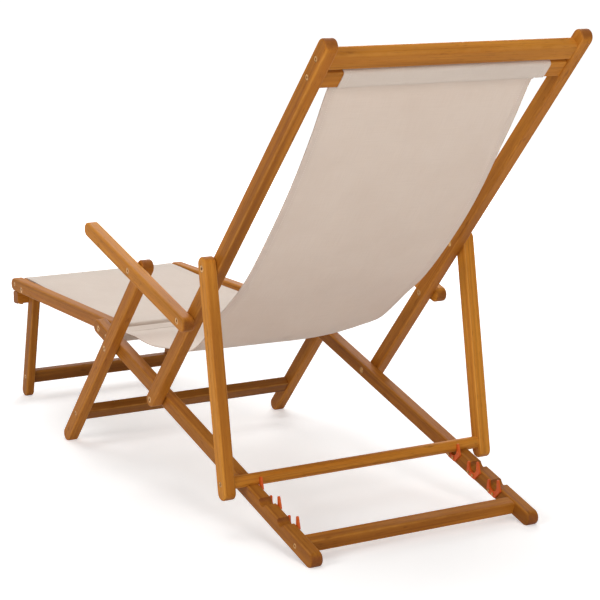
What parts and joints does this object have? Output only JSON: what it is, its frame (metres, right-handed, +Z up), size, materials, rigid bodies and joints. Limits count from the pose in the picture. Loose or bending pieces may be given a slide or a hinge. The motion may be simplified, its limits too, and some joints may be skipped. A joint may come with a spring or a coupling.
{
  "type": "folding sun lounger",
  "caption": "Folding wooden sun lounger with a canvas sling, pivoting armrests, a back propped in notched base rails and a hinged footrest on folding legs.",
  "frame": {"origin": "floor level, at the centre of the box around the set-up lounger", "axes": "+Z up, +Y to the rear where the back leans, -Y to the footrest, +X to the sitter's left"},
  "size_m": [0.6, 1.553, 0.9305],
  "materials": {
    "oiled_hardwood": "oiled hardwood with fine straight grain",
    "canvas": "plain woven canvas",
    "orange_plastic": "moulded, slightly satin",
    "brass_fixings": "brass-plated, satin"
  },
  "bodies": {
    "base_frame": {"base_rail_left": "oiled_hardwood", "base_rail_right": "oiled_hardwood", "rear_crossbar": "oiled_hardwood", "seat_sling_bar": "oiled_hardwood", "base_screws": "brass_fixings", "dowel_hooks_left": "orange_plastic", "dowel_hooks_right": "orange_plastic", "hook_screws": "brass_fixings", "base_pivot_bolts": "brass_fixings", "seat_sling": "canvas"},
    "back_frame": {"back_rail_left": "oiled_hardwood", "back_rail_right": "oiled_hardwood", "top_crossbar": "oiled_hardwood", "upper_sling_bar": "oiled_hardwood", "back_screws": "brass_fixings", "back_pivot_bolts": "brass_fixings"},
    "front_legs": {"front_leg_left": "oiled_hardwood", "front_leg_right": "oiled_hardwood", "leg_crossbar": "oiled_hardwood", "leg_screws": "brass_fixings", "arm_pivot_bolts": "brass_fixings"},
    "armrest_left": {"armrest_left": "oiled_hardwood"},
    "armrest_right": {"armrest_right": "oiled_hardwood"},
    "prop": {"prop_leg_left": "oiled_hardwood", "prop_leg_right": "oiled_hardwood", "prop_dowel": "oiled_hardwood", "prop_screws": "brass_fixings"},
    "footrest": {"footrest_rail_left": "oiled_hardwood", "footrest_rail_right": "oiled_hardwood", "footrest_front_bar": "oiled_hardwood", "footrest_heel_bar": "oiled_hardwood", "footrest_stop_bar": "oiled_hardwood", "footrest_screws": "brass_fixings", "stop_bar_screws": "brass_fixings", "footrest_cloth": "canvas"},
    "footrest_legs": {"foot_leg_left": "oiled_hardwood", "foot_leg_right": "oiled_hardwood", "foot_leg_crossbar": "oiled_hardwood", "foot_leg_screws": "brass_fixings", "foot_leg_bolts": "brass_fixings"}
  },
  "joints": [
    {"name": "back_fold", "type": "hinge", "parent": "base_frame", "child": "back_frame", "pos_m": [0, 0.09324, 0.18369], "axis": [1, 0, 0], "range_deg": [0, 102], "deforming": ["seat_sling"]},
    {"name": "front_leg_fold", "type": "hinge", "parent": "base_frame", "child": "front_legs", "pos_m": [0, -0.12069, 0.24665], "axis": [1, 0, 0], "range_deg": [0, 102]},
    {"name": "armrest_left_pivot", "type": "hinge", "parent": "back_frame", "child": "armrest_left", "pos_m": [0.2875, 0.27058, 0.3779], "axis": [1, 0, 0], "range_deg": [-102, 0]},
    {"name": "armrest_right_pivot", "type": "hinge", "parent": "back_frame", "child": "armrest_right", "pos_m": [-0.2875, 0.27058, 0.3779], "axis": [1, 0, 0], "range_deg": [-102, 0]},
    {"name": "prop_swing", "type": "hinge", "parent": "back_frame", "child": "prop", "pos_m": [0, 0.37678, 0.49421], "axis": [1, 0, 0], "range_deg": [-15.3, 0]},
    {"name": "footrest_tilt", "type": "hinge", "parent": "base_frame", "child": "footrest", "pos_m": [0, -0.20511, 0.27149], "axis": [1, 0, 0], "range_deg": [-35, 45]},
    {"name": "footrest_leg_fold", "type": "hinge", "parent": "footrest", "child": "footrest_legs", "pos_m": [0, -0.69913, 0.27167], "axis": [1, 0, 0], "range_deg": [0, 92]}
  ],
  "couplings": [
    {"joint": "front_leg_fold", "follows": "back_fold", "ratio": 1},
    {"joint": "armrest_left_pivot", "follows": "back_fold", "ratio": -1},
    {"joint": "armrest_right_pivot", "follows": "back_fold", "ratio": -1},
    {"joint": "prop_swing", "follows": "back_fold", "ratio": -0.15}
  ]
}
